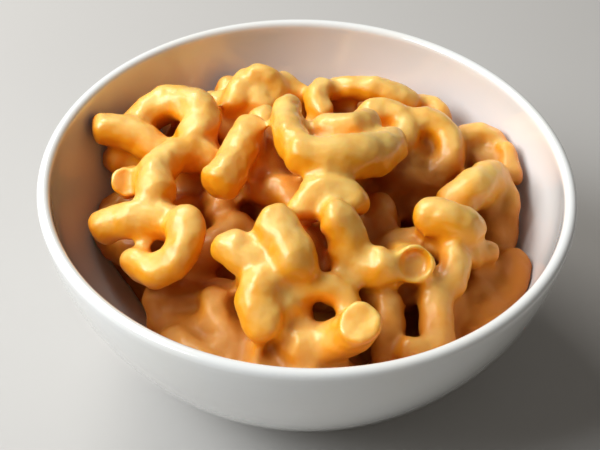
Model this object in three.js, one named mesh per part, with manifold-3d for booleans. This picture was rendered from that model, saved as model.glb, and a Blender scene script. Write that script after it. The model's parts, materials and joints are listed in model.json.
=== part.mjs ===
// Macaroni and cheese served in a round porcelain bowl.
//
// Millimetres, +Z up. The origin is the middle of the bowl's foot, on the table.
// -Y is towards the person who eats and +X is to their right.
//
// The bowl is one turned solid. The food is one solid: a domed core with the macaroni
// elbows that show on top of it, all stuck together by the sauce.

import * as THREE from 'three';
import { mergeVertices } from 'three/addons/utils/BufferGeometryUtils.js';
import Module from 'manifold-3d';

// Bowl
const BOWL_HEIGHT = 60;
const RIM_RADIUS = 70; // outside of the rim
const WALL_AT_RIM = 3.4;
const FOOT_RADIUS = 30; // where the wall leaves the foot
const FOOT_RING_OUTER = 31;
const FOOT_RING_INNER = 26;
const FOOT_RING_HEIGHT = 2.5;
const FLOOR_THICKNESS = 5.5;
const FLOOR_RADIUS = 28; // inside, where the wall leaves the floor
const FLARE_OUT = 1.9; // how early the wall turns outwards
const FLARE_UP = 1.3; // how early the wall turns upwards
const BOWL_SIDES = 48;
const WALL_STEPS = 8;
const WALL_STEP_BIAS = 1.3; // above 1 the steps lie closer together near the foot
const RIM_STEPS = 4;

// Food
const FOOD_GAP = 0.3; // clearance between the food and the bowl
const MOUND_AT_WALL = 43; // height of the heap's mean surface at the wall
const MOUND_RISE = 19; // how much higher its middle is
const MOUND_RADIUS = 64;
const CORE_DEPTH = 12; // how far the core lies below the heap's mean surface
const CORE_RINGS = 9;
const CORE_SIDES = 40;
const HOLLOWS = [ // gaps that reach deep between the elbows
  { x: -50, y: -22, radius: 17, depth: 20 },
  { x: -23, y: -26, radius: 9, depth: 6 },
  { x: 25, y: 1, radius: 11, depth: 6 },
  { x: -20, y: -2, radius: 7, depth: 7 },
  { x: 3, y: -36, radius: 8.5, depth: 10 },
  { x: 24, y: -37, radius: 10, depth: 8 },
  { x: 58, y: -2, radius: 9, depth: 12 },
];
const ELBOW_SIDES = 8;
const ELBOW_STEP = 5.2; // length of one facet along an elbow
const CORNER_SHARE = 1.054; // of the tube's radius, so that the section has a round one's area
const LARGEST_SCRAP = 50; // cubic millimetres of a crumb that may be left out
const END_TAPER = 0.62; // how much narrower an elbow is at its very end

// Kinds of elbow below the ones that show: radius of the bend, length along the centre line,
// outer radius of the tube.
const KINDS = {
  bow: { bend: 20, length: 27, tube: 5.2 },
  elbow: { bend: 10.5, length: 32, tube: 5.2 },
  bent: { bend: 12, length: 27, tube: 5.2 },
  thinHook: { bend: 8, length: 24, tube: 4.6 },
  thinWide: { bend: 12, length: 31, tube: 4.6 },
};

// One row is one elbow that shows: the middle of its bend; the way the bend points and its
// roll about that line, as heading in plan, pitch above level and roll; the radius of its
// bend, its length and the radius of its tube. Where an elbow is thicker at one end, taper
// is the share by which it grows to that end.
const ELBOWS = [
  // left and back left
  { at: [-35, 32, 54.5], turn: [60, 20, -10], bend: 9.5, length: 38, tube: 5.7, taper: -0.05 },
  { at: [-49, 21.5, 51], turn: [70, 20, 15], bend: 25, length: 22, tube: 5 },
  { at: [-48.5, 21.5, 41], turn: [80, -25, 5], bend: 13.5, length: 18, tube: 4.6 },
  { at: [-48, 3.5, 49.5], turn: [-160, -25, 45], bend: 36.5, length: 15, tube: 4.4 },
  { at: [-38, 6.5, 55], turn: [145, 15, 10], bend: 12, length: 32, tube: 5, taper: 0.08 },
  { at: [-43.5, -13.5, 52], turn: [160, 80, -75], bend: 21, length: 24, tube: 4.9 },
  { at: [-33, -27, 50], turn: [-60, -10, 40], bend: 7.5, length: 29, tube: 4.8, taper: 0.1 },
  { at: [-18.5, 5.5, 59], turn: [-20, 30, 5], bend: 36.5, length: 26, tube: 5.1, taper: -0.14 },
  { at: [-11.5, 18, 53], turn: [0, 20, 5], bend: 35, length: 24, tube: 4.4 },
  { at: [-25, 35.5, 46], turn: [10, -5, 10], bend: 19.5, length: 19, tube: 4.2 },
  { at: [-6.5, 2, 50], turn: [70, 35, -5], bend: 6, length: 17, tube: 5 },
  // back
  { at: [-21, 42.5, 53], turn: [160, 45, 0], bend: 8.5, length: 16, tube: 4.3 },
  { at: [-12, 45, 54], turn: [45, 35, 35], bend: 5, length: 14, tube: 3.9 },
  { at: [-5, 46.5, 50], turn: [-60, 60, -60], bend: 11.5, length: 12, tube: 3.5 },
  { at: [-17.5, 38.5, 51], turn: [90, 50, 0], bend: 6, length: 14, tube: 3.8 },
  { at: [-26, 43.5, 46], turn: [50, 10, 10], bend: 5, length: 11, tube: 2.9 },
  { at: [-5.5, 8.5, 65.5], turn: [-170, 30, 5], bend: 28, length: 29, tube: 4.5, taper: 0.1 },
  { at: [13, 0.5, 64], turn: [-55, 20, -15], bend: 17.5, length: 36, tube: 5.6 },
  { at: [11.5, 5.5, 59.5], turn: [-60, 15, -10], bend: 14, length: 27, tube: 4.7 },
  { at: [11.5, 11, 54.5], turn: [-60, 15, -10], bend: 12, length: 26, tube: 4.7 },
  { at: [11, 14, 62.5], turn: [-60, 30, -10], bend: 6.5, length: 19, tube: 4.4 },
  { at: [2, 38.5, 53], turn: [-175, 30, -10], bend: 5.5, length: 13, tube: 4 },
  { at: [18.5, 44, 53], turn: [65, 70, 15], bend: 22.5, length: 26, tube: 4.2, taper: -0.12 },
  { at: [26, 28.5, 54.5], turn: [35, 5, 10], bend: 6, length: 24, tube: 4 },
  { at: [35.5, 43.5, 48], turn: [55, 15, 5], bend: 6.5, length: 14, tube: 3.4 },
  // right
  { at: [30.5, 28, 46], turn: [0, 35, -10], bend: 39, length: 27, tube: 4.6 },
  { at: [39, 25, 51.5], turn: [25, 10, 25], bend: 8.5, length: 27, tube: 4.2 },
  { at: [51.5, 30, 46.5], turn: [50, 15, 15], bend: 5, length: 19, tube: 4.6 },
  { at: [48, 26.5, 43], turn: [50, -5, 10], bend: 13.5, length: 19, tube: 4.8 },
  { at: [56.5, 20.5, 47], turn: [-15, 45, 35], bend: 15, length: 12, tube: 3 },
  { at: [55.5, 5.5, 45], turn: [-40, 40, 50], bend: 5, length: 12, tube: 3 },
  { at: [45.5, 4.5, 51.5], turn: [-30, 65, -10], bend: 13, length: 24, tube: 5.5 },
  { at: [51, 3, 40.5], turn: [35, -25, 45], bend: 5.5, length: 14, tube: 4.2 },
  { at: [37, -14, 56], turn: [-30, 70, -65], bend: 6, length: 15, tube: 5.5 },
  { at: [29.5, 13.5, 43], turn: [100, 10, 10], bend: 8.5, length: 21, tube: 4.8 },
  { at: [26, -25, 51.5], turn: [35, 15, -45], bend: 34.5, length: 15, tube: 5.1 },
  { at: [38, -25, 49.5], turn: [-30, 50, 35], bend: 7.5, length: 12, tube: 3.8 },
  { at: [45.5, -16, 47], turn: [115, 20, 20], bend: 12.5, length: 10, tube: 3.4 },
  { at: [44.5, -22, 37.5], turn: [-30, 5, 0], bend: 45, length: 23, tube: 4.8 },
  { at: [53, -21, 36], turn: [-30, -15, 0], bend: 16.5, length: 29, tube: 5 },
  // middle
  { at: [-11, -32, 55.5], turn: [-110, 5, -10], bend: 19.5, length: 23, tube: 5.1 },
  { at: [-4.5, -29.5, 61], turn: [-20, 65, 50], bend: 17, length: 18, tube: 5.5 },
  { at: [4.5, -11.5, 61.5], turn: [105, 30, 0], bend: 6.5, length: 20, tube: 4.8 },
  { at: [10, -23.5, 59.5], turn: [10, 20, 60], bend: 8, length: 15, tube: 5 },
  { at: [19.5, -5.5, 47], turn: [-25, 55, 25], bend: 9.5, length: 17, tube: 4.8 },
  { at: [-18, -5.5, 41.5], turn: [140, 85, 90], bend: 45, length: 20, tube: 4.4 },
  { at: [15, -29.5, 53], turn: [-90, -40, 15], bend: 8.5, length: 15, tube: 4.7, taper: 0.1 },
  // front
  { at: [-11, -41, 53.5], turn: [-165, 35, -25], bend: 6, length: 17, tube: 5.4 },
  { at: [-3.5, -40, 50], turn: [-15, 45, -85], bend: 6, length: 12, tube: 4.2 },
  { at: [5.5, -36, 53], turn: [75, 50, 10], bend: 7, length: 17, tube: 3.6 },
  { at: [8.5, -47.5, 47.5], turn: [35, -45, -55], bend: 11.5, length: 26, tube: 5.2 },
  { at: [21.5, -40, 42.5], turn: [-5, 5, 30], bend: 41.5, length: 17, tube: 3.9 },
  { at: [33.5, -36.5, 44.5], turn: [-35, 55, 45], bend: 20.5, length: 17, tube: 4.8 },
  { at: [29.5, -46.5, 43], turn: [-75, -20, -5], bend: 11.5, length: 12, tube: 3.4 },
  { at: [-7, -44, 39.5], turn: [175, -5, 40], bend: 23.5, length: 14, tube: 4 },
  { at: [-29, -25.5, 36], turn: [95, 40, -15], bend: 45, length: 24, tube: 5.2 },
  { at: [-30, -34.5, 33.5], turn: [-100, -35, 25], bend: 17, length: 20, tube: 4.6 },
  { at: [-17, -45, 37.5], turn: [-25, 90, 90], bend: 45, length: 11, tube: 3.6 },
];

// A lower layer of elbows lies nearly flat on the core, spread out evenly from the middle.
const LOWER_LAYER = { count: 12, radius: 42, depth: 12.5, tilt: 30, seed: 11 };
const LOWER_KINDS = ['bow', 'elbow', 'bent'];
const GOLDEN_ANGLE = 137.5;

// Elbows low down along the wall, behind and in front, lie at random within these arcs.
const WALL_ARCS = [
  { count: 7, from: 35, to: 145, radius: 52, height: 40 },
  { count: 4, from: -128, to: -45, radius: 54, height: 36 },
];
const WALL_SPREAD = { place: 4, heading: 60, pitch: 60, roll: 50, seed: 7 };
const WALL_KINDS = ['bow', 'thinHook', 'bent', 'thinWide'];

const wasm = await Module();
wasm.setup();

// Repeatable random numbers, spread evenly over a range about zero (Lehmer's generator).
function seededSpread(seed) {
  const multiplier = 16807;
  const modulus = 2147483647;
  let state = seed;
  return (range) => {
    state = (state * multiplier) % modulus;
    return range * (state / modulus - 0.5);
  };
}

// ---- closed meshes to solids and back ----

// Joins the vertices that lie on each other and drops triangles without area.
function closedGeometry(geometry) {
  const bare = geometry.clone();
  bare.deleteAttribute('normal');
  bare.deleteAttribute('uv');
  const merged = mergeVertices(bare);
  const index = merged.getIndex().array;
  const kept = [];
  for (let i = 0; i < index.length; i += 3) {
    const [a, b, c] = index.slice(i, i + 3);
    if (a !== b && b !== c && c !== a) {
      kept.push(a, b, c);
    }
  }
  merged.setIndex(kept);
  return merged;
}

function solidFrom(geometry) {
  const closed = closedGeometry(geometry);
  return new wasm.Manifold(new wasm.Mesh({
    numProp: 3,
    vertProperties: new Float32Array(closed.getAttribute('position').array),
    triVerts: new Uint32Array(closed.getIndex().array),
  }));
}

function geometryFrom(solid) {
  const mesh = solid.getMesh();
  const geometry = new THREE.BufferGeometry();
  geometry.setAttribute('position', new THREE.BufferAttribute(mesh.vertProperties, 3));
  geometry.setIndex(new THREE.BufferAttribute(mesh.triVerts, 1));
  geometry.computeVertexNormals();
  return geometry;
}

// Keeps the one body with its hollows filled and leaves loose scraps out.
function largestBody(solid) {
  const bodies = solid.decompose().sort((one, other) => other.volume() - one.volume());
  if (bodies.slice(1).some((body) => body.volume() > LARGEST_SCRAP)) {
    throw new Error("an elbow lies loose above the heap");
  }
  return bodies[0];
}

// Turns a profile of radius and height about the Z axis.
function turned(profile, sides) {
  return new THREE.LatheGeometry(profile, sides).rotateX(Math.PI / 2);
}

// ---- bowl ----

// Radius of the wall at a share of its height, from the foot or floor to the rim.
function flare(from, to, share) {
  return from + (to - from) * (1 - (1 - share) ** FLARE_OUT) ** (1 / FLARE_UP);
}

function outerWall() {
  const points = [];
  const rise = BOWL_HEIGHT - WALL_AT_RIM / 2 - FOOT_RING_HEIGHT;
  for (let i = 0; i < WALL_STEPS; i += 1) {
    const height = FOOT_RING_HEIGHT + rise * (i / WALL_STEPS) ** WALL_STEP_BIAS;
    points.push(new THREE.Vector2(flare(FOOT_RADIUS, RIM_RADIUS, height / BOWL_HEIGHT), height));
  }
  return points;
}

function roundedRim() {
  const lip = WALL_AT_RIM / 2;
  const points = [];
  for (let i = 0; i <= RIM_STEPS; i += 1) {
    const angle = (Math.PI * i) / RIM_STEPS;
    points.push(new THREE.Vector2(
      RIM_RADIUS - lip + lip * Math.cos(angle),
      BOWL_HEIGHT - lip + lip * Math.sin(angle),
    ));
  }
  return points;
}

// The inside of the bowl from the rim down to the floor, moved inwards by a clearance.
function innerWall(clearance) {
  const points = [];
  const depth = BOWL_HEIGHT - WALL_AT_RIM / 2 - FLOOR_THICKNESS;
  for (let i = WALL_STEPS - 1; i >= 0; i -= 1) {
    const share = (i / WALL_STEPS) ** WALL_STEP_BIAS;
    const radius = flare(FLOOR_RADIUS, RIM_RADIUS - WALL_AT_RIM, share) - clearance;
    points.push(new THREE.Vector2(radius, FLOOR_THICKNESS + clearance + depth * share));
  }
  return points;
}

function bowlGeometry() {
  const profile = [
    new THREE.Vector2(0, FOOT_RING_HEIGHT),
    new THREE.Vector2(FOOT_RING_INNER, FOOT_RING_HEIGHT),
    new THREE.Vector2(FOOT_RING_INNER, 0),
    new THREE.Vector2(FOOT_RING_OUTER, 0),
    new THREE.Vector2(FOOT_RING_OUTER, FOOT_RING_HEIGHT),
    ...outerWall(),
    ...roundedRim(),
    ...innerWall(0),
    new THREE.Vector2(0, FLOOR_THICKNESS),
  ];
  return closedGeometry(turned(profile, BOWL_SIDES));
}

// ---- macaroni ----

// The space that the food may fill: the bowl's inside less the clearance, open upwards.
function cavitySolid() {
  const top = BOWL_HEIGHT + MOUND_RISE;
  const radius = RIM_RADIUS - WALL_AT_RIM - FOOD_GAP;
  const profile = [
    new THREE.Vector2(0, FLOOR_THICKNESS + FOOD_GAP),
    ...innerWall(FOOD_GAP).reverse(),
    new THREE.Vector2(radius, BOWL_HEIGHT - WALL_AT_RIM / 2),
    new THREE.Vector2(radius, top),
    new THREE.Vector2(0, top),
  ];
  return solidFrom(turned(profile, BOWL_SIDES));
}

// Mean height of the heap's surface.
function moundHeight(x, y) {
  const fromMiddle = Math.hypot(x, y) / MOUND_RADIUS;
  return MOUND_AT_WALL + MOUND_RISE * (1 - fromMiddle ** 2);
}

function coreHeight(x, y) {
  let depth = CORE_DEPTH;
  for (const hollow of HOLLOWS) {
    const share = Math.hypot(x - hollow.x, y - hollow.y) / hollow.radius;
    depth += hollow.depth * Math.exp(-(share ** 4));
  }
  return moundHeight(x, y) - depth;
}

function inHollow(x, y) {
  return HOLLOWS.some((hollow) => Math.hypot(x - hollow.x, y - hollow.y) < hollow.radius);
}

// A block with a domed top, wide enough to be cut to the bowl afterwards.
function coreSolid() {
  const profile = [new THREE.Vector2(0, 0)];
  for (let i = CORE_RINGS; i >= 0; i -= 1) {
    const radius = (RIM_RADIUS * i) / CORE_RINGS;
    if (i === CORE_RINGS) {
      profile.push(new THREE.Vector2(radius, 0));
    }
    profile.push(new THREE.Vector2(radius, BOWL_HEIGHT));
  }
  const geometry = turned(profile, CORE_SIDES);
  const position = geometry.getAttribute('position');
  for (let i = 0; i < position.count; i += 1) {
    if (position.getZ(i) > 0) {
      position.setZ(i, coreHeight(position.getX(i), position.getY(i)));
    }
  }
  return solidFrom(geometry);
}

// The centre line of an elbow: an arc whose middle is the origin and which bulges to +X.
class BendCurve extends THREE.Curve {
  constructor(bend, turn) {
    super();
    this.bend = bend;
    this.turn = turn;
  }

  getPoint(t, target = new THREE.Vector3()) {
    const angle = (t - 0.5) * this.turn;
    return target.set(this.bend * (Math.cos(angle) - 1), this.bend * Math.sin(angle), 0);
  }
}

// Makes the tube wider towards its last end by the taper, and narrower at its very ends.
function shapeTube(geometry, { bend, taper = 0 }, turn) {
  const position = geometry.getAttribute('position');
  const justInside = 0.98;
  for (let i = 0; i < position.count; i += 1) {
    const point = new THREE.Vector3().fromBufferAttribute(position, i);
    const angle = Math.atan2(point.y, point.x + bend);
    const share = (2 * angle) / turn;
    const width = (1 + taper * share) * (Math.abs(share) > justInside ? END_TAPER : 1);
    const centre = new THREE.Vector3(bend * (Math.cos(angle) - 1), bend * Math.sin(angle), 0);
    point.lerpVectors(centre, point, width);
    position.setXYZ(i, point.x, point.y, point.z);
  }
  return geometry;
}

function elbowGeometry(elbow) {
  const radius = elbow.tube * CORNER_SHARE;
  const corners = [];
  for (let i = 0; i < ELBOW_SIDES; i += 1) {
    const angle = (2 * Math.PI * i) / ELBOW_SIDES;
    corners.push(new THREE.Vector2(radius * Math.cos(angle), radius * Math.sin(angle)));
  }
  const turn = elbow.length / elbow.bend;
  const geometry = new THREE.ExtrudeGeometry(new THREE.Shape(corners), {
    steps: Math.round(elbow.length / ELBOW_STEP),
    extrudePath: new BendCurve(elbow.bend, turn),
  });
  return shapeTube(geometry, elbow, turn);
}

function elbowSolid(elbow) {
  const [heading, pitch, roll] = elbow.turn.map(THREE.MathUtils.degToRad);
  const turnedTo = new THREE.Euler(roll, -pitch, heading, 'ZYX');
  const placed = new THREE.Matrix4().makeRotationFromEuler(turnedTo).setPosition(...elbow.at);
  return solidFrom(elbowGeometry(elbow).applyMatrix4(placed));
}

function lowerElbows() {
  const spread = seededSpread(LOWER_LAYER.seed);
  const rows = [];
  for (let i = 0; i < LOWER_LAYER.count; i += 1) {
    const angle = THREE.MathUtils.degToRad(GOLDEN_ANGLE * i);
    const radius = LOWER_LAYER.radius * Math.sqrt((i + 0.5) / LOWER_LAYER.count);
    const x = radius * Math.cos(angle);
    const y = radius * Math.sin(angle);
    rows.push({
      at: [x, y, moundHeight(x, y) - LOWER_LAYER.depth],
      turn: [spread(360), spread(LOWER_LAYER.tilt), spread(LOWER_LAYER.tilt)],
      ...KINDS[LOWER_KINDS[i % LOWER_KINDS.length]],
    });
  }
  return rows.filter((row) => !inHollow(row.at[0], row.at[1]));
}

function wallElbows() {
  const spread = seededSpread(WALL_SPREAD.seed);
  const rows = [];
  for (const arc of WALL_ARCS) {
    for (let i = 0; i < arc.count; i += 1) {
      const heading = arc.from + ((arc.to - arc.from) * (i + 0.5)) / arc.count;
      const angle = THREE.MathUtils.degToRad(heading);
      const radius = arc.radius + spread(WALL_SPREAD.place);
      const height = arc.height + spread(WALL_SPREAD.place);
      const turned = heading + spread(WALL_SPREAD.heading);
      rows.push({
        at: [radius * Math.cos(angle), radius * Math.sin(angle), height],
        turn: [turned, spread(WALL_SPREAD.pitch), spread(WALL_SPREAD.roll)],
        ...KINDS[WALL_KINDS[i % WALL_KINDS.length]],
      });
    }
  }
  return rows;
}

function macaroniGeometry() {
  const rows = [...ELBOWS, ...lowerElbows(), ...wallElbows()];
  const heap = rows.reduce((joined, row) => joined.add(elbowSolid(row)), coreSolid());
  return geometryFrom(largestBody(heap.intersect(cavitySolid())));
}

// ---- the whole dish ----

function named(name, geometry, material) {
  const mesh = new THREE.Mesh(geometry, material);
  mesh.name = name;
  return mesh;
}

const porcelain = new THREE.MeshStandardMaterial({ color: 0xf1f0ec, roughness: 0.2, metalness: 0 });
const cheesyPasta = new THREE.MeshStandardMaterial({ color: 0xe9a83e, roughness: 0.35, metalness: 0 });

const dish = new THREE.Group();
dish.add(named('bowl', bowlGeometry(), porcelain));
dish.add(named('macaroni', macaroniGeometry(), cheesyPasta));

export default dish;
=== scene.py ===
"""Macaroni and cheese in a round porcelain bowl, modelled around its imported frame.

Metres, +Z up, with the origin under the middle of the bowl's foot. -Y is towards the
person who eats. The bowl is a profile spun about the Z axis. The food is one heap:
each form of elbow is modelled once, copied to its places, joined with a core and run
together by a skin of cheese sauce.
"""

import json
import math

import bmesh
import bpy
from mathutils import Matrix, Vector

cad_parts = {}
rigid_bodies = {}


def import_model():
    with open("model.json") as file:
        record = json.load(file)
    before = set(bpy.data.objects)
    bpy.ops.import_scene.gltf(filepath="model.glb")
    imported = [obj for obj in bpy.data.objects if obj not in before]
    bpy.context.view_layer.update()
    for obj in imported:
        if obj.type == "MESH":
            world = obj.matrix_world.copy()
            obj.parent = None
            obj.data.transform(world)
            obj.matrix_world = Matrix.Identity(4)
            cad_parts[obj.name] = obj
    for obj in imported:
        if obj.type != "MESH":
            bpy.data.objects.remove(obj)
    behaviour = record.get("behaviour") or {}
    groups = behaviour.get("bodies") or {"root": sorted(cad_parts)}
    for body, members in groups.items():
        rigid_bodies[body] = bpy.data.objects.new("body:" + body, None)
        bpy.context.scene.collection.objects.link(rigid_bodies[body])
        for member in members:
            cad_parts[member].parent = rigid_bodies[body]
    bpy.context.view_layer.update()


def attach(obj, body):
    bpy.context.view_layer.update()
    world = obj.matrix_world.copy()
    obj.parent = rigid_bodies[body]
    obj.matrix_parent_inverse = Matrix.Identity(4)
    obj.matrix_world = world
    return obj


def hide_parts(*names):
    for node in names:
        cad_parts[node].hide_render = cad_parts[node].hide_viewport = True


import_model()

bl_info = {
    "name": "Macaroni and Cheese Bowl",
    "version": (1, 0, 0),
    "blender": (4, 5, 0),
    "location": "View3D > Sidebar > Macaroni",
    "description": "Models a porcelain bowl filled with macaroni elbows in smooth cheese sauce",
    "category": "Object",
}

MM = 0.001
BODY = "root"

# ---- the heap ----

# Kinds of elbow below the ones that show, in millimetres: radius of the bend, length along
# the centre line, radius of the tube with its sauce.
KINDS = {
    "bow": {"bend": 20, "length": 27, "tube": 5.2},
    "elbow": {"bend": 10.5, "length": 32, "tube": 5.2},
    "bent": {"bend": 12, "length": 27, "tube": 5.2},
    "thin_hook": {"bend": 8, "length": 24, "tube": 4.6},
    "thin_wide": {"bend": 12, "length": 31, "tube": 4.6},
}

# One row is one elbow of the upper layer: the middle of its bend in millimetres; the way
# the bend points and its roll about that line, as heading in plan, pitch above level and
# roll in degrees; the radius of its bend, its length and the radius of its tube. Where an
# elbow is thicker at one end, taper is the share by which it grows to that end. An end that
# shows its hole is open or, where sauce fills the hole, dished; -1 is the first end, 1 the
# last. Two elbows lie hidden under the largest one in the middle and carry it.
ELBOWS = [
    # left and back left
    {"at": (-35, 32, 54.5), "turn": (60, 20, -10), "bend": 9.5, "length": 38, "tube": 5.7,
     "taper": -0.05},
    {"at": (-49, 21.5, 51), "turn": (70, 20, 15), "bend": 25, "length": 22, "tube": 5},
    {"at": (-48.5, 21.5, 41), "turn": (80, -25, 5), "bend": 13.5, "length": 18, "tube": 4.6},
    {"at": (-48, 3.5, 49.5), "turn": (-160, -25, 45), "bend": 36.5, "length": 15, "tube": 4.4,
     "dished": 1},
    {"at": (-38, 6.5, 55), "turn": (145, 15, 10), "bend": 12, "length": 32, "tube": 5,
     "taper": 0.08},
    {"at": (-43.5, -13.5, 52), "turn": (160, 80, -75), "bend": 21, "length": 24, "tube": 4.9},
    {"at": (-33, -27, 50), "turn": (-60, -10, 40), "bend": 7.5, "length": 29, "tube": 4.8,
     "taper": 0.1},
    {"at": (-18.5, 5.5, 59), "turn": (-20, 30, 5), "bend": 36.5, "length": 26, "tube": 5.1,
     "taper": -0.14},
    {"at": (-11.5, 18, 53), "turn": (0, 20, 5), "bend": 35, "length": 24, "tube": 4.4},
    {"at": (-25, 35.5, 46), "turn": (10, -5, 10), "bend": 19.5, "length": 19, "tube": 4.2},
    {"at": (-6.5, 2, 50), "turn": (70, 35, -5), "bend": 6, "length": 17, "tube": 5},
    # back
    {"at": (-21, 42.5, 53), "turn": (160, 45, 0), "bend": 8.5, "length": 16, "tube": 4.3},
    {"at": (-12, 45, 54), "turn": (45, 35, 35), "bend": 5, "length": 14, "tube": 3.9},
    {"at": (-5, 46.5, 50), "turn": (-60, 60, -60), "bend": 11.5, "length": 12, "tube": 3.5},
    {"at": (-17.5, 38.5, 51), "turn": (90, 50, 0), "bend": 6, "length": 14, "tube": 3.8},
    {"at": (-26, 43.5, 46), "turn": (50, 10, 10), "bend": 5, "length": 11, "tube": 2.9},
    {"at": (-5.5, 8.5, 65.5), "turn": (-170, 30, 5), "bend": 28, "length": 29, "tube": 4.5,
     "taper": 0.1},
    {"at": (13, 0.5, 64), "turn": (-55, 20, -15), "bend": 17.5, "length": 36, "tube": 5.6},
    {"at": (11.5, 5.5, 59.5), "turn": (-60, 15, -10), "bend": 14, "length": 27, "tube": 4.7},  # hidden
    {"at": (11.5, 11, 54.5), "turn": (-60, 15, -10), "bend": 12, "length": 26, "tube": 4.7},  # hidden
    {"at": (11, 14, 62.5), "turn": (-60, 30, -10), "bend": 6.5, "length": 19, "tube": 4.4},
    {"at": (2, 38.5, 53), "turn": (-175, 30, -10), "bend": 5.5, "length": 13, "tube": 4},
    {"at": (18.5, 44, 53), "turn": (65, 70, 15), "bend": 22.5, "length": 26, "tube": 4.2,
     "taper": -0.12},
    {"at": (26, 28.5, 54.5), "turn": (35, 5, 10), "bend": 6, "length": 24, "tube": 4},
    {"at": (35.5, 43.5, 48), "turn": (55, 15, 5), "bend": 6.5, "length": 14, "tube": 3.4},
    # right
    {"at": (30.5, 28, 46), "turn": (0, 35, -10), "bend": 39, "length": 27, "tube": 4.6},
    {"at": (39, 25, 51.5), "turn": (25, 10, 25), "bend": 8.5, "length": 27, "tube": 4.2},
    {"at": (51.5, 30, 46.5), "turn": (50, 15, 15), "bend": 5, "length": 19, "tube": 4.6},
    {"at": (48, 26.5, 43), "turn": (50, -5, 10), "bend": 13.5, "length": 19, "tube": 4.8},
    {"at": (56.5, 20.5, 47), "turn": (-15, 45, 35), "bend": 15, "length": 12, "tube": 3},
    {"at": (55.5, 5.5, 45), "turn": (-40, 40, 50), "bend": 5, "length": 12, "tube": 3},
    {"at": (45.5, 4.5, 51.5), "turn": (-30, 65, -10), "bend": 13, "length": 24, "tube": 5.5},
    {"at": (51, 3, 40.5), "turn": (35, -25, 45), "bend": 5.5, "length": 14, "tube": 4.2},
    {"at": (37, -14, 56), "turn": (-30, 70, -65), "bend": 6, "length": 15, "tube": 5.5},
    {"at": (29.5, 13.5, 43), "turn": (100, 10, 10), "bend": 8.5, "length": 21, "tube": 4.8},
    {"at": (26, -25, 51.5), "turn": (35, 15, -45), "bend": 34.5, "length": 15, "tube": 5.1,
     "open": -1},
    {"at": (38, -25, 49.5), "turn": (-30, 50, 35), "bend": 7.5, "length": 12, "tube": 3.8},
    {"at": (45.5, -16, 47), "turn": (115, 20, 20), "bend": 12.5, "length": 10, "tube": 3.4},
    {"at": (44.5, -22, 37.5), "turn": (-30, 5, 0), "bend": 45, "length": 23, "tube": 4.8},
    {"at": (53, -21, 36), "turn": (-30, -15, 0), "bend": 16.5, "length": 29, "tube": 5},
    # middle
    {"at": (-11, -32, 55.5), "turn": (-110, 5, -10), "bend": 19.5, "length": 23, "tube": 5.1},
    {"at": (-4.5, -29.5, 61), "turn": (-20, 65, 50), "bend": 17, "length": 18, "tube": 5.5},
    {"at": (4.5, -11.5, 61.5), "turn": (105, 30, 0), "bend": 6.5, "length": 20, "tube": 4.8},
    {"at": (10, -23.5, 59.5), "turn": (10, 20, 60), "bend": 8, "length": 15, "tube": 5},
    {"at": (19.5, -5.5, 47), "turn": (-25, 55, 25), "bend": 9.5, "length": 17, "tube": 4.8},
    {"at": (-18, -5.5, 41.5), "turn": (140, 85, 90), "bend": 45, "length": 20, "tube": 4.4},
    {"at": (15, -29.5, 53), "turn": (-90, -40, 15), "bend": 8.5, "length": 15, "tube": 4.7,
     "taper": 0.1},
    # front
    {"at": (-11, -41, 53.5), "turn": (-165, 35, -25), "bend": 6, "length": 17, "tube": 5.4},
    {"at": (-3.5, -40, 50), "turn": (-15, 45, -85), "bend": 6, "length": 12, "tube": 4.2},
    {"at": (5.5, -36, 53), "turn": (75, 50, 10), "bend": 7, "length": 17, "tube": 3.6},
    {"at": (8.5, -47.5, 47.5), "turn": (35, -45, -55), "bend": 11.5, "length": 26, "tube": 5.2,
     "dished": -1},
    {"at": (21.5, -40, 42.5), "turn": (-5, 5, 30), "bend": 41.5, "length": 17, "tube": 3.9},
    {"at": (33.5, -36.5, 44.5), "turn": (-35, 55, 45), "bend": 20.5, "length": 17, "tube": 4.8},
    {"at": (29.5, -46.5, 43), "turn": (-75, -20, -5), "bend": 11.5, "length": 12, "tube": 3.4},
    {"at": (-7, -44, 39.5), "turn": (175, -5, 40), "bend": 23.5, "length": 14, "tube": 4,
     "open": 1},
    {"at": (-29, -25.5, 36), "turn": (95, 40, -15), "bend": 45, "length": 24, "tube": 5.2},
    {"at": (-30, -34.5, 33.5), "turn": (-100, -35, 25), "bend": 17, "length": 20, "tube": 4.6,
     "open": 1},
    {"at": (-17, -45, 37.5), "turn": (-25, 90, 90), "bend": 45, "length": 11, "tube": 3.6},
]

# A lower layer lies nearly flat on the core, spread out evenly from the middle, and a
# deeper one fills the gaps that still show.
LAYERS = (
    {"count": 12, "radius": 42, "depth": 12.5, "tilt": 30, "seed": 11},
    {"count": 40, "radius": 52, "depth": 16, "tilt": 50, "seed": 29},
)
LAYER_KINDS = ("bow", "elbow", "bent")
GOLDEN_ANGLE = 137.5

# Elbows low down along the wall, behind and in front, lie at random within these arcs.
WALL_ARCS = (
    {"count": 7, "from": 35, "to": 145, "radius": 52, "height": 40},
    {"count": 4, "from": -128, "to": -45, "radius": 54, "height": 36},
)
WALL_SPREAD = {"place": 4, "heading": 60, "pitch": 60, "roll": 50, "seed": 7}
WALL_KINDS = ("bow", "thin_hook", "bent", "thin_wide")

# Gaps that reach deep between the elbows: beside the left wall, then across the heap.
HOLLOWS = (
    {"x": -50, "y": -22, "radius": 17, "depth": 20},
    {"x": 25, "y": 1, "radius": 11, "depth": 6},
    {"x": -20, "y": -2, "radius": 7, "depth": 7},
    {"x": -23, "y": -26, "radius": 9, "depth": 6},
    {"x": 3, "y": -36, "radius": 8.5, "depth": 10},
    {"x": 24, "y": -37, "radius": 10, "depth": 8},
    {"x": 58, "y": -2, "radius": 9, "depth": 12},
)


# ---- settings ----


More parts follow.
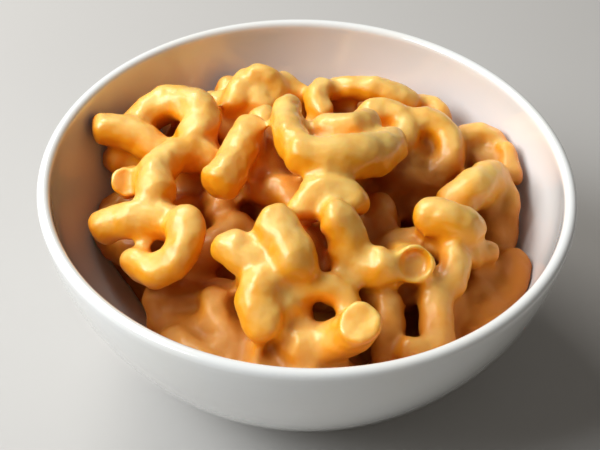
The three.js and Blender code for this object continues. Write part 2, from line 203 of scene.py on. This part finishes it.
def a_length(name, description, default):
    """A size in metres."""
    return bpy.props.FloatProperty(
        name=name, description=description, default=default, min=0.0, unit="LENGTH", precision=4
    )


def a_colour(name, description, default):
    """A linear colour."""
    return bpy.props.FloatVectorProperty(
        name=name,
        description=description,
        default=default,
        size=3,
        min=0.0,
        max=1.0,
        subtype="COLOR",
    )


def a_power(name, description, default):
    """The power of a light in watts."""
    return bpy.props.FloatProperty(
        name=name, description=description, default=default, min=0.0, unit="POWER"
    )


class BowlSettings(bpy.types.PropertyGroup):
    """Sizes and colours of the bowl."""

    height: a_length("Height", "Height of the rim above the table", 0.060)
    rim_radius: a_length("Rim radius", "Outside radius of the rim", 0.070)
    wall: a_length("Wall", "Thickness of the wall at the rim", 0.0034)
    foot_radius: a_length("Foot radius", "Radius at which the wall leaves the foot", 0.030)
    foot_ring_outer: a_length("Foot ring outside", "Outside radius of the foot ring", 0.031)
    foot_ring_inner: a_length("Foot ring inside", "Inside radius of the foot ring", 0.026)
    foot_ring_height: a_length("Foot ring height", "Height of the foot ring", 0.0025)
    floor_thickness: a_length("Floor", "Thickness of the bowl's floor", 0.0055)
    floor_radius: a_length("Floor radius", "Radius at which the inner wall leaves the floor", 0.028)
    glaze: a_colour("Glaze", "Colour of the glazed porcelain", (0.885, 0.90, 0.892))
    biscuit: a_colour("Biscuit", "Colour of the bare foot ring", (0.66, 0.62, 0.56))


class FoodSettings(bpy.types.PropertyGroup):
    """Sizes and colours of the macaroni and its sauce."""

    gap: a_length("Gap", "Clearance between the food and the bowl", 0.0003)
    mound_at_wall: a_length("Height at the wall", "Mean height of the heap at the wall", 0.043)
    mound_rise: a_length("Rise", "How much higher the heap's middle is", 0.019)
    mound_radius: a_length("Mound radius", "Radius at which the heap meets the wall", 0.064)
    core_depth: a_length("Core depth", "How far the core lies below the heap's surface", 0.018)
    grain: a_length("Grain", "Size of the cells in which the elbows are run together", 0.0006)
    fillet: a_length("Fillet", "How far the sauce fills the corners between elbows", 0.0011)
    lumps: a_length("Lumps", "Height of the sauce's uneven places", 0.0020)
    # Painted light: the sauce's upward faces get this paler colour, as tops in the light would.
    lit_top_cream: a_colour("Cream", "Colour of the sauce on top, where it is palest", (0.96, 0.62, 0.19))
    cheese: a_colour("Cheese", "Colour of the sauce on the sides", (0.93, 0.39, 0.010))
    # Painted shade: sheltered places beside the gaps take this darker, redder colour.
    shade_orange: a_colour("Orange", "Colour of the sauce beside the gaps", (0.92, 0.29, 0.006))
    # Painted shade: places low in the bowl, which lie in the heap's shade, take this dark colour.
    low_shade_brown: a_colour("Brown", "Colour of the sauce low down in the bowl", (0.41, 0.115, 0.004))
    # Painted shade: the dark colour painted into the gaps between the elbows.
    crevice_shade: a_colour("Crevice", "Colour of the sauce in the gaps", (0.38, 0.08, 0.008))


class StageSettings(bpy.types.PropertyGroup):
    """The floor, the light and the camera."""

    floor_tint: a_colour("Floor", "Colour of the floor", (0.50, 0.49, 0.475))
    camera_distance: a_length("Camera distance", "From the middle of the rim to the camera", 0.3146)
    window_power: a_power("Window light", "Power of the light high on the left", 6.7)
    ceiling_power: a_power("Ceiling light", "Power of the light above and behind the bowl", 2.6)


# ---- modelling ----


def deselect_all():
    """Goes to object mode with nothing selected."""
    if bpy.context.object is not None and bpy.context.object.mode != "OBJECT":
        bpy.ops.object.mode_set(mode="OBJECT")
    bpy.ops.object.select_all(action="DESELECT")


def pick(*pieces):
    """Selects these pieces only and makes the first one active."""
    deselect_all()
    for piece in pieces:
        piece.select_set(True)
    bpy.context.view_layer.objects.active = pieces[0]


def bake_place(piece):
    """Puts the piece's place into its mesh and its object back at the origin."""
    pick(piece)
    bpy.ops.object.transform_apply(location=True, rotation=True, scale=True)


def add_modifier(piece, kind, **settings):
    """Applies a modifier to the piece."""
    pick(piece)
    modifier = piece.modifiers.new(kind.title(), kind)
    for name, value in settings.items():
        setattr(modifier, name, value)
    bpy.ops.object.modifier_apply(modifier=modifier.name)


def choose(piece, part, test):
    """In edit mode, selects the faces, edges or verts that pass the test."""
    bpy.ops.mesh.select_mode(type={"faces": "FACE", "edges": "EDGE", "verts": "VERT"}[part])
    bpy.ops.mesh.select_all(action="DESELECT")
    mesh = bmesh.from_edit_mesh(piece.data)
    for element in getattr(mesh, part):
        element.select_set(test(element))
    mesh.select_flush_mode()
    bmesh.update_edit_mesh(piece.data)


def smooth_shading(piece):
    pick(piece)
    bpy.ops.object.shade_smooth()


def spin_profile(name, points, steps):
    """Draws a profile of radius and height by extruding a point and spins it about Z."""
    deselect_all()
    bpy.ops.mesh.primitive_plane_add(size=1.0)
    piece = bpy.context.object
    piece.name = name
    piece.data.name = name
    bpy.ops.object.mode_set(mode="EDIT")
    bpy.ops.mesh.select_mode(type="VERT")
    bpy.ops.mesh.select_all(action="SELECT")
    bpy.ops.mesh.merge(type="CENTER")
    bpy.ops.transform.translate(value=(points[0][0], 0.0, points[0][1]))
    for here, there in zip(points, points[1:]):
        step = (there[0] - here[0], 0.0, there[1] - here[1])
        bpy.ops.mesh.extrude_region_move(TRANSFORM_OT_translate={"value": step})
    bpy.ops.mesh.select_all(action="SELECT")
    bpy.ops.mesh.spin(steps=steps, angle=2 * math.pi, center=(0, 0, 0), axis=(0, 0, 1))
    bpy.ops.mesh.select_all(action="SELECT")
    bpy.ops.mesh.remove_doubles(threshold=0.02 * MM)
    bpy.ops.mesh.normals_make_consistent(inside=False)
    bpy.ops.object.mode_set(mode="OBJECT")
    return piece


# ---- materials ----


class Socket:
    """A node's output, so that shader maths can be written as an expression."""

    def __init__(self, shader, output):
        self.shader = shader
        self.output = output

    def math(self, operation, first, second):
        values = {0: first, 1: second}
        return self.shader.node("ShaderNodeMath", {"operation": operation}, values)

    def __add__(self, other):
        return self.math("ADD", self, other)

    __radd__ = __add__

    def __sub__(self, other):
        return self.math("SUBTRACT", self, other)

    def __rsub__(self, other):
        return self.math("SUBTRACT", other, self)

    def __mul__(self, other):
        return self.math("MULTIPLY", self, other)

    __rmul__ = __mul__


class Shader:
    """A material and the nodes that paint it."""

    def __init__(self, name):
        self.material = bpy.data.materials.new(name)
        self.material.use_nodes = True
        self.tree = self.material.node_tree
        self.tree.nodes.clear()

    def node(self, kind, settings, sockets, output=0):
        """Adds a node, sets its settings and then its sockets, and gives one output."""
        made = self.tree.nodes.new(kind)
        stops = settings.get("stops")
        for name, value in settings.items():
            if name != "stops":
                setattr(made, name, value)
        if stops:
            self.set_stops(made.color_ramp, stops)
        for name, value in sockets.items():
            if isinstance(value, Socket):
                self.tree.links.new(value.output, made.inputs[name])
            else:
                made.inputs[name].default_value = value
        return Socket(self, made.outputs[output]) if len(made.outputs) else None

    def set_stops(self, ramp, stops):
        for place, value in stops[len(ramp.elements):]:
            ramp.elements.new(place)
        for element, (place, value) in zip(ramp.elements, stops):
            element.position = place
            element.color = (value, value, value, 1.0)

    def mix(self, share, first, second):
        """A colour between two colours."""
        sockets = {0: share, 6: self.paint(first), 7: self.paint(second)}
        return self.node("ShaderNodeMix", {"data_type": "RGBA"}, sockets, 2)

    def paint(self, colour):
        return colour if isinstance(colour, Socket) else (*colour, 1.0)

    def place(self):
        """The place on the piece, in metres."""
        return self.node("ShaderNodeTexCoord", {}, {}, "Object")

    def height(self):
        """The height above the table, in metres."""
        return self.part_of(self.place(), "Z")

    def part_of(self, vector, axis):
        """One of the three numbers of a vector."""
        return self.node("ShaderNodeSeparateXYZ", {}, {"Vector": vector}, axis)

    def noise(self, size, detail=2.0, roughness=0.5):
        """Cloudy noise from 0 to 1 with spots of about this size in metres."""
        sockets = {
            "Vector": self.place(),
            "Scale": 1.0 / size,
            "Detail": detail,
            "Roughness": roughness,
        }
        return self.node("ShaderNodeTexNoise", {"noise_dimensions": "3D"}, sockets)

    def ramp(self, value, *stops):
        """The value led through stops of place and brightness."""
        return self.node("ShaderNodeValToRGB", {"stops": stops}, {"Fac": value})

    def bump(self, height, depth, strength=1.0, under=None):
        sockets = {"Height": height, "Distance": depth, "Strength": strength}
        if under is not None:
            sockets["Normal"] = under
        return self.node("ShaderNodeBump", {}, sockets)

    def finish(self, sockets):
        surface = self.node("ShaderNodeBsdfPrincipled", {}, sockets)
        self.node("ShaderNodeOutputMaterial", {}, {"Surface": surface})
        return self.material


def dress(piece, material):
    """Gives the piece its one material."""
    piece.data.materials.clear()
    piece.data.materials.append(material)


def porcelain_material(bowl):
    """White glaze with faint ripples, slightly warm where it runs thin, and a bare foot ring."""
    shader = Shader("porcelain_glaze")
    bare = shader.ramp(shader.height() * (1.0 / bowl.foot_ring_height), (0.20, 1.0), (0.34, 0.0))
    cloud = shader.noise(26 * MM, detail=3.0)
    thin = shader.ramp(cloud, (0.38, 0.0), (0.72, 1.0))
    warm = tuple(channel * share for channel, share in zip(bowl.glaze, (1.0, 0.985, 0.955)))
    glaze = shader.mix(thin, tuple(bowl.glaze), warm)
    colour = shader.mix(bare, glaze, tuple(bowl.biscuit))
    gloss = 0.09 + 0.05 * cloud + 0.5 * bare
    ripple = shader.noise(3.2 * MM, detail=1.0)
    grit = shader.noise(0.35 * MM, detail=2.0) * bare
    normal = shader.bump(grit, 0.05 * MM, 1.0, under=shader.bump(ripple, 0.02 * MM, 0.6))
    return shader.finish({
        "Base Color": colour,
        "Roughness": gloss,
        "IOR": 1.5,
        "Coat Weight": 1.0 - bare,
        "Coat Roughness": 0.05,
        "Normal": normal,
        "Subsurface Weight": 0.06,
        "Subsurface Radius": (1.0, 0.9, 0.8),
        "Subsurface Scale": 1.5 * MM,
    })


SUNK_TOP = 57 * MM  # the height below which the sauce is painted in low shade, where that is highest
SUNK_RIGHT = 18 * MM  # how far that place lies to the right of the middle
SUNK_FALL = 11 * MM  # how much lower it is at the mound's radius from there
SUNK_DEPTH = 9 * MM  # this much lower down the painted low shade is full


def depth_in_heap(shader, food):
    """How far a place lies below the height at which the painted low shade starts."""
    aside = shader.part_of(shader.place(), "X") - SUNK_RIGHT
    back = shader.part_of(shader.place(), "Y")
    fall = (aside * aside + back * back) * (SUNK_FALL / food.mound_radius ** 2)
    return SUNK_TOP - fall - shader.height()


def cheese_material(food):
    """Wet cheese sauce with painted light and shade: paler where it faces up, as lit tops, painted
    shade beside the gaps, darker in them and low down.
    """
    shader = Shader("cheese_sauce")
    # Painted light: faces that point up are painted paler, standing in for lit tops; noise adds random
    # pale blotches.
    upward = shader.part_of(shader.node("ShaderNodeNewGeometry", {}, {}, "Normal"), "Z")
    blotch = shader.noise(8 * MM, detail=3.0, roughness=0.6)
    lit_top_and_blotch = shader.ramp(0.55 * upward + 0.7 * blotch, (0.52, 0.0), (0.98, 1.0))
    body = shader.mix(lit_top_and_blotch, tuple(food.cheese), tuple(food.lit_top_cream))
    # Painted shade: places low in the heap are painted in the dark low-shade colour; they are also
    # made rougher and lose their coat.
    sunk = shader.ramp(depth_in_heap(shader, food) * (1.0 / SUNK_DEPTH), (0.0, 0.0), (1.0, 0.95))
    # Painted shade: ambient occlusion marks the sheltered places, and these are painted darker and
    # redder, as the shade there would look.
    shelter = shader.node(
        "ShaderNodeAmbientOcclusion", {"samples": 8}, {"Distance": 16 * MM}, "AO"
    )
    painted_shade_share = 1.0 - shader.ramp(shelter, (0.15, 0.0), (0.75, 1.0))
    # Painted shade: the most sheltered places, deep in the gaps, get the darkest painted colour.
    deep = 1.0 - shader.ramp(shelter, (0.00, 0.0), (0.35, 1.0))
    # Painted shade, in three steps: beside the gaps, low down in the bowl, and deep in the gaps.
    shade_orange = shader.mix(painted_shade_share, body, tuple(food.shade_orange))
    low_shade_brown = shader.mix(sunk, shade_orange, tuple(food.low_shade_brown))
    colour = shader.mix(deep, low_shade_brown, tuple(food.crevice_shade))
    wet = shader.noise(6 * MM, detail=2.0)
    gloss = 0.32 + 0.12 * wet + 0.28 * sunk
    ripple = shader.noise(3.4 * MM, detail=2.0)
    grain = shader.noise(0.55 * MM, detail=2.0)
    normal = shader.bump(grain, 0.03 * MM, 0.5, under=shader.bump(ripple, 0.25 * MM, 0.7))
    return shader.finish({
        "Base Color": colour,
        "Roughness": gloss,
        "IOR": 1.5,
        "Coat Weight": shader.ramp(wet, (0.35, 0.1), (0.7, 0.9)) * (1.0 - sunk),
        "Coat Roughness": 0.20,
        "Specular IOR Level": 0.5,
        "Specular Tint": (1.0, 0.88, 0.58, 1.0),
        "Normal": normal,
        "Subsurface Weight": 0.6,
        "Subsurface Radius": (1.0, 0.5, 0.15),
        "Subsurface Scale": 3.0 * MM,
    })


def floor_material(stage):
    """Pale matt floor."""
    shader = Shader("stage_floor")
    cloud = shader.noise(90 * MM, detail=2.0)
    paler = tuple(min(1.0, 1.04 * channel) for channel in stage.floor_tint)
    colour = shader.mix(cloud, tuple(stage.floor_tint), paler)
    return shader.finish({"Base Color": colour, "Roughness": 0.65})


# ---- bowl ----

FLARE_OUT = 1.9  # how early the wall turns outwards
FLARE_UP = 1.3  # how early the wall turns upwards
WALL_STEPS = 40
WALL_STEP_BIAS = 1.3  # above 1 the steps lie closer together near the foot
RIM_STEPS = 10
BOWL_SIDES = 192


def flare(start, end, share):
    """Radius of the wall at a share of its height, from the foot or floor to the rim."""
    return start + (end - start) * (1 - (1 - share) ** FLARE_OUT) ** (1 / FLARE_UP)


def outer_wall(bowl):
    points = []
    rise = bowl.height - bowl.wall / 2 - bowl.foot_ring_height
    for i in range(WALL_STEPS):
        height = bowl.foot_ring_height + rise * (i / WALL_STEPS) ** WALL_STEP_BIAS
        points.append((flare(bowl.foot_radius, bowl.rim_radius, height / bowl.height), height))
    return points


def rounded_rim(bowl):
    lip = bowl.wall / 2
    points = []
    for i in range(RIM_STEPS + 1):
        angle = math.pi * i / RIM_STEPS
        radius = bowl.rim_radius - lip + lip * math.cos(angle)
        points.append((radius, bowl.height - lip + lip * math.sin(angle)))
    return points


def inner_wall(bowl, clearance):
    """The inside of the bowl from the rim down to the floor, moved inwards by a clearance."""
    points = []
    depth = bowl.height - bowl.wall / 2 - bowl.floor_thickness
    for i in reversed(range(WALL_STEPS)):
        share = (i / WALL_STEPS) ** WALL_STEP_BIAS
        radius = flare(bowl.floor_radius, bowl.rim_radius - bowl.wall, share) - clearance
        points.append((radius, bowl.floor_thickness + clearance + depth * share))
    return points


def foot_ring(bowl):
    """The underside from the middle outwards, with the foot ring's edges rounded."""
    inside = bowl.foot_ring_inner
    outside = bowl.foot_ring_outer
    top = bowl.foot_ring_height
    edge = 0.5 * MM
    return [
        (0.0, top),
        (inside - edge, top),
        (inside, top - edge),
        (inside, edge),
        (inside + edge, 0.0),
        (outside - edge, 0.0),
        (outside, edge),
        (outside, top - edge),
    ]


class MACARONI_OT_bowl(bpy.types.Operator):
    """Model the porcelain bowl"""

    bl_idname = "macaroni.bowl"
    bl_label = "Bowl"

    def execute(self, context):
        bowl = context.scene.macaroni_bowl
        profile = [
            *foot_ring(bowl),
            *outer_wall(bowl),
            *rounded_rim(bowl),
            *inner_wall(bowl, 0.0),
            (0.0, bowl.floor_thickness),
        ]
        piece = spin_profile("porcelain_bowl", profile, BOWL_SIDES)
        smooth_shading(piece)
        dress(piece, porcelain_material(bowl))
        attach(piece, BODY)
        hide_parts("bowl")
        return {"FINISHED"}


# ---- macaroni ----

ELBOW_SIDES = 20
ELBOW_STEP = 1.6 * MM
END_ROUNDING = 0.45  # of the tube's radius
END_DOME = 0.16  # of the tube's radius
END_INSET = 0.6  # of the tube's radius, how wide the ring about a closed end's middle is
PASTA_WALL = 1.5 * MM  # pasta and sauce around an open end
OPEN_DEPTH = 2.6  # millimetres
DISHED_DEPTH = 0.4  # millimetres
EDGE_ROUNDING = 0.55 * MM
ROUNDING_STEPS = 4
TOLERANCE = 0.01 * MM
CORE_SIDES = 96
CORE_RINGS = 22
LUMPS = ((9 * MM, 1.0), (3.5 * MM, 0.35))  # width of the lumps and their share of the height
TRIANGLES = 190000


def seeded_spread(seed):
    """Repeatable random numbers, spread evenly over a range about zero (Lehmer's generator)."""
    multiplier = 16807
    modulus = 2147483647
    state = seed

    def spread(width):
        nonlocal state
        state = (state * multiplier) % modulus
        return width * (state / modulus - 0.5)

    return spread


def mound_height(x, y):
    """Mean height of the heap's surface in millimetres."""
    food = bpy.context.scene.macaroni_food
    from_middle = math.hypot(x, y) * MM / food.mound_radius
    return (food.mound_at_wall + food.mound_rise * (1 - from_middle ** 2)) / MM


def core_height(x, y):
    """Height of the core in millimetres."""
    depth = bpy.context.scene.macaroni_food.core_depth / MM
    for hollow in HOLLOWS:
        share = math.hypot(x - hollow["x"], y - hollow["y"]) / hollow["radius"]
        depth += hollow["depth"] * math.exp(-(share ** 4))
    return mound_height(x, y) - depth


def in_hollow(x, y):
    return any(math.hypot(x - gap["x"], y - gap["y"]) < gap["radius"] for gap in HOLLOWS)


def layer_elbows():
    rows = []
    for layer in LAYERS:
        spread = seeded_spread(layer["seed"])
        for i in range(layer["count"]):
            angle = math.radians(GOLDEN_ANGLE * i)
            radius = layer["radius"] * math.sqrt((i + 0.5) / layer["count"])
            x = radius * math.cos(angle)
            y = radius * math.sin(angle)
            row = {
                "at": (x, y, mound_height(x, y) - layer["depth"]),
                "turn": (spread(360), spread(layer["tilt"]), spread(layer["tilt"])),
                **KINDS[LAYER_KINDS[i % len(LAYER_KINDS)]],
            }
            if not in_hollow(x, y):
                rows.append(row)
    return rows


def wall_elbows():
    spread = seeded_spread(WALL_SPREAD["seed"])
    rows = []
    for arc in WALL_ARCS:
        for i in range(arc["count"]):
            heading = arc["from"] + (arc["to"] - arc["from"]) * (i + 0.5) / arc["count"]
            angle = math.radians(heading)
            radius = arc["radius"] + spread(WALL_SPREAD["place"])
            height = arc["height"] + spread(WALL_SPREAD["place"])
            turned = heading + spread(WALL_SPREAD["heading"])
            rows.append({
                "at": (radius * math.cos(angle), radius * math.sin(angle), height),
                "turn": (turned, spread(WALL_SPREAD["pitch"]), spread(WALL_SPREAD["roll"])),
                **KINDS[WALL_KINDS[i % len(WALL_KINDS)]],
            })
    return rows


def end_hollows(row):
    """How deep the elbow's first and last ends are hollowed, in millimetres."""
    depths = {row.get("open"): OPEN_DEPTH, row.get("dished"): DISHED_DEPTH}
    return tuple(depths.get(side, 0) for side in (-1, 1))


def shape_end(elbow, side, reach, tube, hollow):
    """Rounds one end of the straight tube, or hollows it; side is -1 or 1 along X."""
    choose(elbow, "faces", lambda face: face.normal.x * side > 0.9)
    if hollow:
        bpy.ops.mesh.inset(thickness=PASTA_WALL)
        inwards = (-side * hollow, 0.0, 0.0)
        bpy.ops.mesh.extrude_region_move(TRANSFORM_OT_translate={"value": inwards})
        rounding, least_radius = EDGE_ROUNDING, 0.0
    else:
        bpy.ops.mesh.inset(thickness=END_INSET * tube)
        bpy.ops.transform.translate(value=(side * END_DOME * tube, 0.0, 0.0))
        rounding, least_radius = END_ROUNDING * tube, tube
    choose(elbow, "edges", lambda edge: is_rim(edge, side * reach, least_radius))
    bpy.ops.mesh.bevel(offset=rounding, segments=ROUNDING_STEPS, profile=0.5, affect="EDGES")


def is_rim(edge, place, least_radius):
    """True for an edge of a ring that lies at this place along X."""
    on_plane = all(abs(vertex.co.x - place) < TOLERANCE for vertex in edge.verts)
    radii = [math.hypot(vertex.co.y, vertex.co.z) for vertex in edge.verts]
    around = abs(radii[0] - radii[1]) < TOLERANCE
    return on_plane and around and min(radii) > 0.98 * least_radius


def model_elbow(form):
    """Models one elbow: a straight tube with shaped ends, tapered and then bent."""
    bend, length, tube, taper, hollows = form
    reach = length / 2 * MM
    deselect_all()
    bpy.ops.mesh.primitive_cylinder_add(
        vertices=ELBOW_SIDES, radius=tube * MM, depth=2 * reach, rotation=(0.0, math.pi / 2, 0.0)
    )
    elbow = bpy.context.object
    elbow.name = "elbow"
    bake_place(elbow)
    bpy.ops.object.mode_set(mode="EDIT")
    choose(elbow, "edges", lambda edge: abs(edge.verts[0].co.x - edge.verts[1].co.x) > reach)
    bpy.ops.mesh.subdivide(number_cuts=round(2 * reach / ELBOW_STEP))
    for side, hollow in zip((-1, 1), hollows):
        shape_end(elbow, side, reach, tube * MM, hollow * MM)
    bpy.ops.object.mode_set(mode="OBJECT")
    for vertex in elbow.data.vertices:
        vertex.co.yz *= 1 + taper * vertex.co.x / reach
    add_modifier(
        elbow, "SIMPLE_DEFORM", deform_method="BEND", deform_axis="Z", angle=2 * reach / (bend * MM)
    )
    return elbow


def placed_copy(model, row):
    """Copies an elbow's model, with its own mesh, to the place that its row gives."""
    elbow = model.copy()
    elbow.data = model.data.copy()
    bpy.context.collection.objects.link(elbow)
    heading, pitch, roll = (math.radians(angle) for angle in row["turn"])
    turned = (
        Matrix.Rotation(heading, 4, "Z")
        @ Matrix.Rotation(-pitch, 4, "Y")
        @ Matrix.Rotation(roll, 4, "X")
        @ Matrix.Rotation(math.pi / 2, 4, "Z")
    )
    elbow.matrix_world = Matrix.Translation(Vector(row["at"]) * MM) @ turned
    return elbow


def place_elbows():
    """Models each form of elbow once and copies it to all its places."""
    models = {}
    placed = []
    for row in [*ELBOWS, *layer_elbows(), *wall_elbows()]:
        form = (row["bend"], row["length"], row["tube"], row.get("taper", 0), end_hollows(row))
        if form not in models:
            models[form] = model_elbow(form)
        placed.append(placed_copy(models[form], row))
    for model in models.values():
        bpy.data.objects.remove(model)
    return placed


def model_core(bowl):
    """A block with a domed top under the elbows, wide enough to be cut to the bowl afterwards."""
    deselect_all()
    bpy.ops.mesh.primitive_cylinder_add(
        vertices=CORE_SIDES,
        radius=bowl.rim_radius,
        depth=bowl.height,
        location=(0, 0, bowl.height / 2),
    )
    core = bpy.context.object
    core.name = "core"
    bake_place(core)
    bpy.ops.object.mode_set(mode="EDIT")
    choose(core, "faces", lambda face: face.normal.z > 0.9)
    for _ in range(CORE_RINGS):
        bpy.ops.mesh.inset(thickness=bowl.rim_radius / (CORE_RINGS + 1))
    bpy.ops.object.mode_set(mode="OBJECT")
    for vertex in core.data.vertices:
        if vertex.co.z > bowl.height / 2:
            vertex.co.z = core_height(vertex.co.x / MM, vertex.co.y / MM) * MM
    return core


def model_cavity(bowl, food):
    """The space that the food may fill: the bowl's inside less the clearance, open upwards."""
    top = bowl.height + food.mound_rise
    radius = bowl.rim_radius - bowl.wall - food.gap
    profile = [
        (0.0, bowl.floor_thickness + food.gap),
        *reversed(inner_wall(bowl, food.gap)),
        (radius, bowl.height - bowl.wall / 2),
        (radius, top),
        (0.0, top),
    ]
    return spin_profile("cavity", profile, BOWL_SIDES)


def remesh(piece, cell):
    add_modifier(piece, "REMESH", mode="VOXEL", voxel_size=cell)


def swell(piece, distance):
    """Moves the surface outwards, or inwards where the distance is negative."""
    add_modifier(piece, "DISPLACE", strength=distance, mid_level=0.0, direction="NORMAL")


def run_together(heap, food):
    """Fills the corners between the elbows, as thick sauce does, and leaves the rest as it is."""
    remesh(heap, food.grain)
    swell(heap, food.fillet)
    remesh(heap, food.grain)
    add_modifier(heap, "SMOOTH", factor=0.5, iterations=3)
    swell(heap, -food.fillet)
    remesh(heap, food.grain)
    add_modifier(heap, "SMOOTH", factor=0.5, iterations=2)


def add_lumps(heap, food):
    """Makes the sauce uneven: broad lumps and finer ones."""
    for size, share in LUMPS:
        texture = bpy.data.textures.new("lumps", "CLOUDS")
        texture.noise_scale = size
        texture.noise_depth = 1
        add_modifier(heap, "DISPLACE", texture=texture, strength=food.lumps * share, mid_level=0.5)
        bpy.data.textures.remove(texture)
    add_modifier(heap, "SMOOTH", factor=0.5, iterations=3)


def cut_to_bowl(heap, bowl, food):
    cavity = model_cavity(bowl, food)
    add_modifier(heap, "BOOLEAN", operation="INTERSECT", solver="MANIFOLD", object=cavity)
    bpy.data.objects.remove(cavity)


def drop_bubbles(heap):
    """Deletes the closed hollows inside the heap and leaves only its outer skin."""
    top = max(vertex.co.z for vertex in heap.data.vertices)
    pick(heap)
    bpy.ops.object.mode_set(mode="EDIT")
    choose(heap, "verts", lambda vertex: vertex.co.z == top)
    bpy.ops.mesh.select_linked()
    bpy.ops.mesh.select_all(action="INVERT")
    bpy.ops.mesh.delete(type="VERT")
    bpy.ops.object.mode_set(mode="OBJECT")


def thin_out(heap, triangles):
    """Leaves out triangles where the surface is flattest, down to this many."""
    add_modifier(heap, "TRIANGULATE")
    share = triangles / len(heap.data.polygons)
    if share < 1.0:
        add_modifier(heap, "DECIMATE", decimate_type="COLLAPSE", ratio=share)


def merge_flaws(heap):
    """Merges the vertices round each stray face that thinning out left behind."""
    pick(heap)
    bpy.ops.object.mode_set(mode="EDIT")
    bpy.ops.mesh.select_mode(type="VERT")
    bpy.ops.mesh.select_all(action="DESELECT")
    bpy.ops.mesh.select_non_manifold()
    if heap.data.total_vert_sel > 0:
        bpy.ops.mesh.merge(type="COLLAPSE")
    bpy.ops.object.mode_set(mode="OBJECT")


class MACARONI_OT_heap(bpy.types.Operator):
    """Model the heap of macaroni elbows in cheese sauce"""

    bl_idname = "macaroni.heap"
    bl_label = "Macaroni"

    def execute(self, context):
        bowl = context.scene.macaroni_bowl
        food = context.scene.macaroni_food
        heap = model_core(bowl)
        pick(heap, *place_elbows())
        bpy.ops.object.join()
        heap.name = "macaroni_in_cheese_sauce"
        heap.data.name = heap.name
        bake_place(heap)
        run_together(heap, food)
        add_lumps(heap, food)
        cut_to_bowl(heap, bowl, food)
        drop_bubbles(heap)
        thin_out(heap, TRIANGLES)
        merge_flaws(heap)
        smooth_shading(heap)
        dress(heap, cheese_material(food))
        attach(heap, BODY)
        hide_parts("macaroni")
        return {"FINISHED"}


# ---- stage ----

CAMERA_LENS = 72.2  # millimetres on a 36 mm wide sensor
CAMERA_RISE = math.radians(40.73)
CAMERA_ROLL = math.radians(1.84)
CAMERA_AIM = Vector((-1.61, 0.0, 39.34)) * MM

# The lights: where each stands, how wide and high it is, and its colour.
WINDOW = {"place": (-0.55, -0.08, 0.56), "size": (0.56, 0.44), "colour": (0.96, 0.985, 1.0)}
CEILING = {"place": (-0.30, 0.40, 0.58), "size": (0.36, 0.26), "colour": (1.0, 0.97, 0.92)}
LIT_PLACE = (0.0, 0.0, 0.045)  # what both lights point at
ROOM_COLOUR = (1.0, 0.93, 0.85, 1.0)
ROOM_STRENGTH = 0.14


def add_area_light(name, light, power):
    deselect_all()
    bpy.ops.object.light_add(type="AREA", location=light["place"])
    lamp = bpy.context.object
    lamp.name = name
    lamp.data.shape = "RECTANGLE"
    lamp.data.size, lamp.data.size_y = light["size"]
    lamp.data.energy = power
    lamp.data.color = light["colour"]
    aim = Vector(LIT_PLACE) - Vector(light["place"])
    lamp.rotation_euler = aim.to_track_quat("-Z", "Y").to_euler()


def light_room(scene):
    """Gives the room a weak, warm light from all sides."""
    world = bpy.data.worlds.new("studio")
    world.use_nodes = True
    background = world.node_tree.nodes["Background"]
    background.inputs["Color"].default_value = ROOM_COLOUR
    background.inputs["Strength"].default_value = ROOM_STRENGTH
    scene.world = world


def add_camera(bowl, stage):
    """Adds a camera that looks down into the bowl from the front."""
    place = Vector((0.0, -math.cos(CAMERA_RISE), math.sin(CAMERA_RISE))) * stage.camera_distance
    place.z += bowl.height
    forward = (CAMERA_AIM - place).normalized()
    level = forward.cross(Vector((0.0, 0.0, 1.0))).normalized()
    upright = level.cross(forward)
    right = math.cos(CAMERA_ROLL) * level + math.sin(CAMERA_ROLL) * upright
    up = math.cos(CAMERA_ROLL) * upright - math.sin(CAMERA_ROLL) * level
    deselect_all()
    bpy.ops.object.camera_add()
    camera = bpy.context.object
    camera.name = "camera"
    camera.data.lens = CAMERA_LENS
    camera.data.clip_start = 0.01
    turned = Matrix((right, up, -forward)).transposed().to_4x4()
    camera.matrix_world = Matrix.Translation(place) @ turned
    bpy.context.scene.camera = camera


class MACARONI_OT_stage(bpy.types.Operator):
    """Add the floor, the light and the camera"""

    bl_idname = "macaroni.stage"
    bl_label = "Stage"

    def execute(self, context):
        stage = context.scene.macaroni_stage
        deselect_all()
        bpy.ops.mesh.primitive_plane_add(size=6.0)
        floor = bpy.context.object
        floor.name = "floor"
        floor.data.materials.append(floor_material(stage))
        add_area_light("window", WINDOW, stage.window_power)
        add_area_light("ceiling", CEILING, stage.ceiling_power)
        light_room(context.scene)
        context.scene.view_settings.view_transform = "Standard"
        add_camera(context.scene.macaroni_bowl, stage)
        return {"FINISHED"}


# ---- add-on ----


class MACARONI_PT_panel(bpy.types.Panel):
    """Lists the steps that model the dish"""

    bl_label = "Macaroni and Cheese"
    bl_idname = "MACARONI_PT_panel"
    bl_space_type = "VIEW_3D"
    bl_region_type = "UI"
    bl_category = "Macaroni"

    def draw(self, context):
        for operator in OPERATORS:
            self.layout.operator(operator.bl_idname)


SETTINGS = {
    "macaroni_bowl": BowlSettings,
    "macaroni_food": FoodSettings,
    "macaroni_stage": StageSettings,
}
OPERATORS = (MACARONI_OT_bowl, MACARONI_OT_heap, MACARONI_OT_stage)
CLASSES = (*SETTINGS.values(), *OPERATORS, MACARONI_PT_panel)


def register():
    for made in CLASSES:
        bpy.utils.register_class(made)
    for name, group in SETTINGS.items():
        setattr(bpy.types.Scene, name, bpy.props.PointerProperty(type=group))


def unregister():
    for name in SETTINGS:
        delattr(bpy.types.Scene, name)
    for made in reversed(CLASSES):
        bpy.utils.unregister_class(made)


def main():
    register()
    bpy.ops.macaroni.bowl()
    bpy.ops.macaroni.heap()
    bpy.ops.macaroni.stage()


if __name__ == "__main__":
    main()
